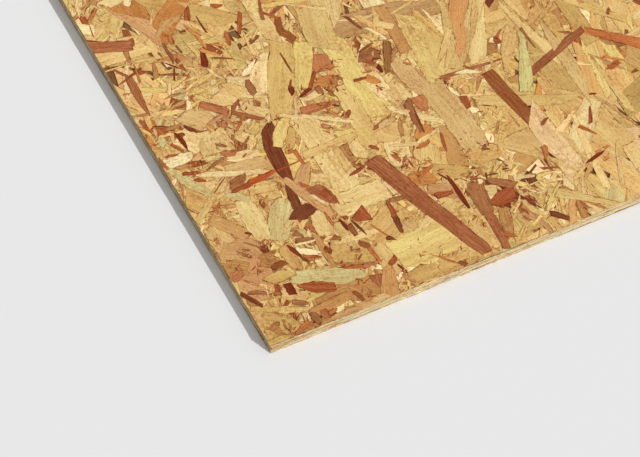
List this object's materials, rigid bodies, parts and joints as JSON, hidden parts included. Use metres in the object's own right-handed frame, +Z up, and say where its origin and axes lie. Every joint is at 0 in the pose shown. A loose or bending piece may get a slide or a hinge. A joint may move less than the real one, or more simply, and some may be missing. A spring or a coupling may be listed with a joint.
{
  "type": "osb panel",
  "caption": "Flat rectangular board of pressed wood strands with square-sawn edges, for sheathing, subfloors and crates.",
  "frame": {"origin": "middle of the underside, on the surface that the board lies on", "axes": "+X along the length, the way most face strands lie; +Y across the width; +Z up through the thickness"},
  "size_m": [2.5, 1.25, 0.012],
  "materials": {
    "strand_board": "unsanded pressed strands with a faint resin sheen"
  },
  "bodies": {
    "root": {"osb_panel": "strand_board"}
  },
  "joints": []
}
